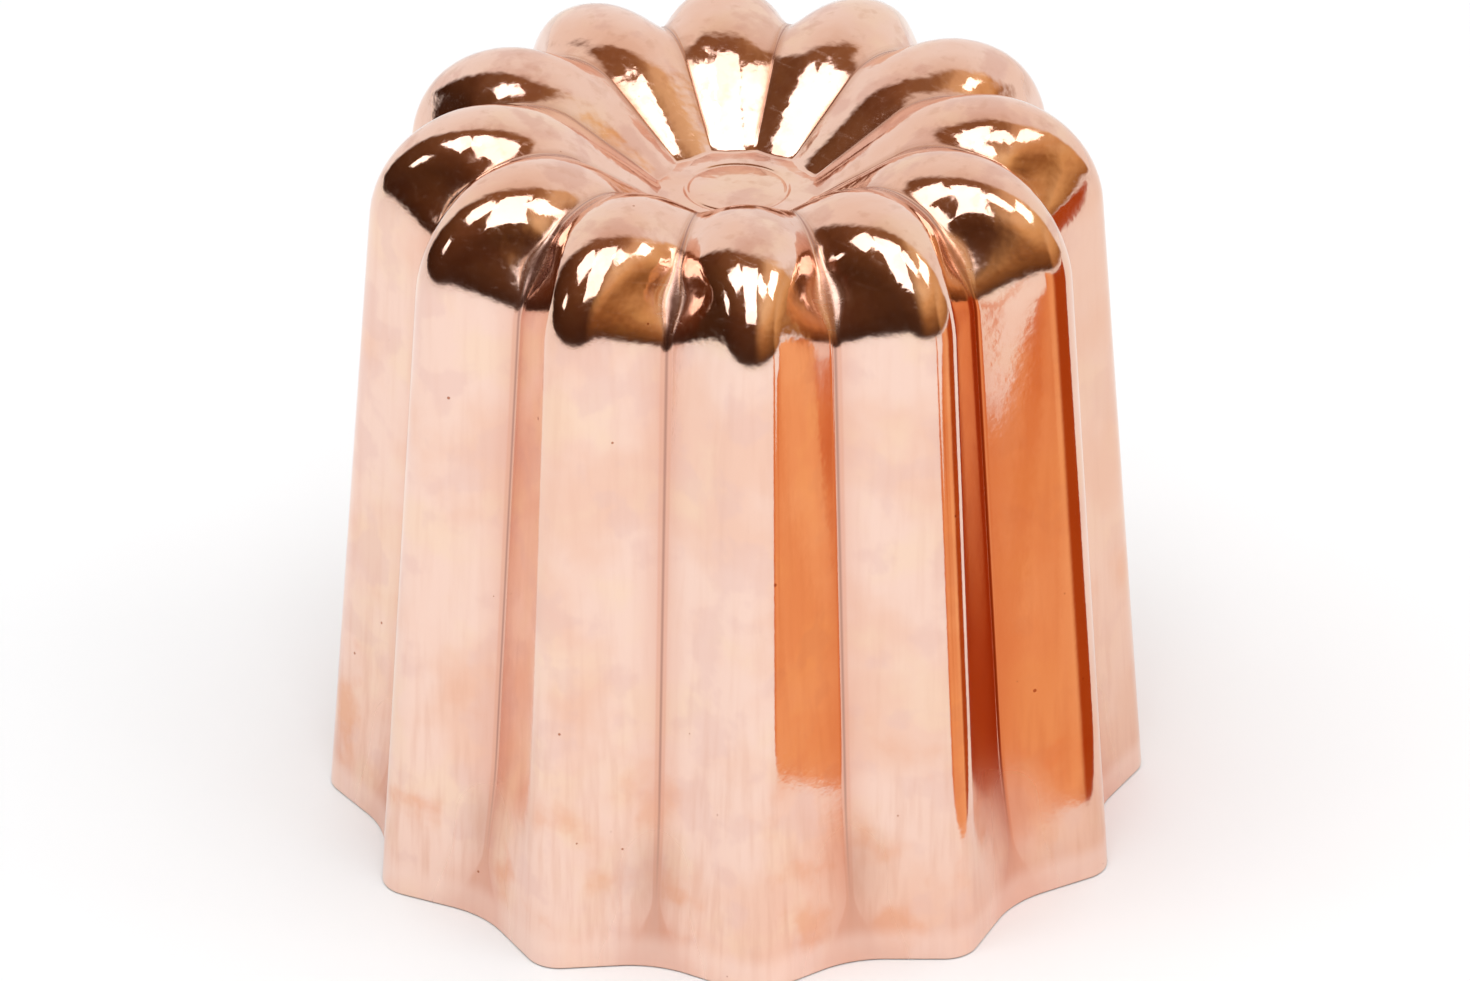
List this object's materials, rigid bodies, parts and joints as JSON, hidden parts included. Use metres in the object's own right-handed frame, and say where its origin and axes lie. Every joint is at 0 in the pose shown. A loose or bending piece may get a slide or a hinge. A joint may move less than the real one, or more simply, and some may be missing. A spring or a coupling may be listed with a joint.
{
  "type": "fluted copper baking mould",
  "caption": "Fluted copper baking mould for small cakes, with a tapered wall, rounded petals, a sunken centre disc, a plain rim and a tin lining.",
  "frame": {"origin": "centre of the mouth, on the plane that the rim stands on", "axes": "+Z along the mould's axis from the mouth to the petals, with a flute crest at -Y and one at every 30 degrees"},
  "size_m": [0.055, 0.055, 0.0505],
  "materials": {
    "copper": "polished bare copper, lightly tarnished",
    "tin": "hand-wiped tin, satin"
  },
  "bodies": {
    "mould": {"copper_shell": "copper", "tin_lining": "tin"}
  },
  "joints": []
}
